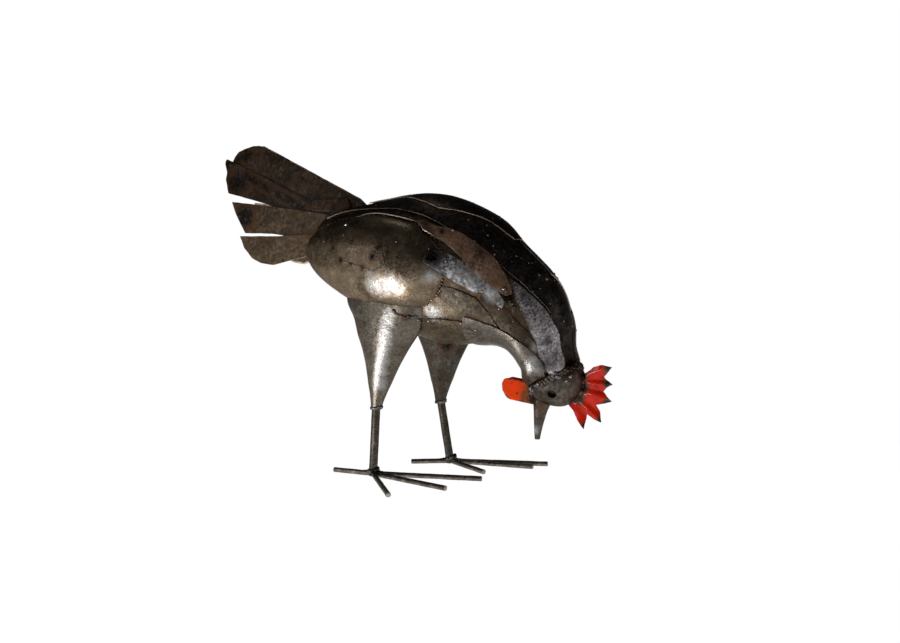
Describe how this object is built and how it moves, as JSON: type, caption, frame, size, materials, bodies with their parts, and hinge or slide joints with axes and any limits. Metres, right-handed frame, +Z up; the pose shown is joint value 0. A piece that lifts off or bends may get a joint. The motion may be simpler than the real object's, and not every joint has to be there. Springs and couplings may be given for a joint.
{
  "type": "welded steel hen sculpture",
  "caption": "Free-standing pecking hen welded from beaten sheet steel and round bar, with painted comb and wattle, a fanned tail and splayed bar toes; a garden or indoor ornament.",
  "frame": {"origin": "middle of the bounding box's base, on the ground that the hen stands on", "axes": "+X the way the hen faces, from the tail to the comb; +Y its left; +Z up"},
  "size_m": [0.534, 0.2592, 0.3962],
  "materials": {
    "beaten_steel": "hammered, oiled, mottled brown-grey, polished on the high spots",
    "black_steel": "heat-blackened, with thin rust and bare cut edges",
    "brown_steel": "matt brown rust patina, burnt dark at the welds",
    "zinc_steel": "old drum steel, grey with bluish bright streaks and brown stains",
    "bar_steel": "dark round bar with bright saw-cut ends",
    "head_steel": "pitted dark steel with a satin oil sheen",
    "red_paint": "glossy red enamel, chipped to black at the tips and the weld",
    "orange_paint": "worn matt orange-red drum paint, rusted near the weld"
  },
  "bodies": {
    "root": {"body_shell": "beaten_steel", "flank_dome_right": "beaten_steel", "flank_dome_left": "beaten_steel", "thigh_right": "beaten_steel", "thigh_left": "beaten_steel", "shank_right": "bar_steel", "shank_left": "bar_steel", "toe_right_middle": "bar_steel", "toe_right_inner": "bar_steel", "toe_right_outer": "bar_steel", "toe_right_back": "bar_steel", "toe_left_middle": "bar_steel", "toe_left_inner": "bar_steel", "toe_left_outer": "bar_steel", "toe_left_back": "bar_steel", "head_shell": "head_steel", "beak": "head_steel", "comb": "red_paint", "wattle": "orange_paint", "tail_feather_right_1": "black_steel", "tail_feather_right_2": "black_steel", "tail_feather_right_3": "brown_steel", "tail_feather_right_4": "brown_steel", "tail_feather_left_1": "black_steel", "tail_feather_left_2": "black_steel", "tail_feather_left_3": "brown_steel", "tail_feather_left_4": "brown_steel", "tail_cover_right": "black_steel", "tail_cover_left": "black_steel", "spine_plate": "black_steel", "nape_plate": "black_steel", "throat_plate": "beaten_steel", "back_feather_right_1": "black_steel", "back_feather_right_2": "black_steel", "back_feather_left_1": "black_steel", "back_feather_left_2": "black_steel", "shoulder_feather_right": "brown_steel", "shoulder_feather_left": "brown_steel", "wing_feather_right_1": "zinc_steel", "wing_feather_right_2": "zinc_steel", "wing_feather_right_3": "zinc_steel", "wing_feather_left_1": "zinc_steel", "wing_feather_left_2": "zinc_steel", "wing_feather_left_3": "zinc_steel", "neck_feather_right": "zinc_steel", "neck_feather_left": "zinc_steel", "belly_plate_right": "beaten_steel", "belly_plate_left": "beaten_steel"}
  },
  "joints": []
}
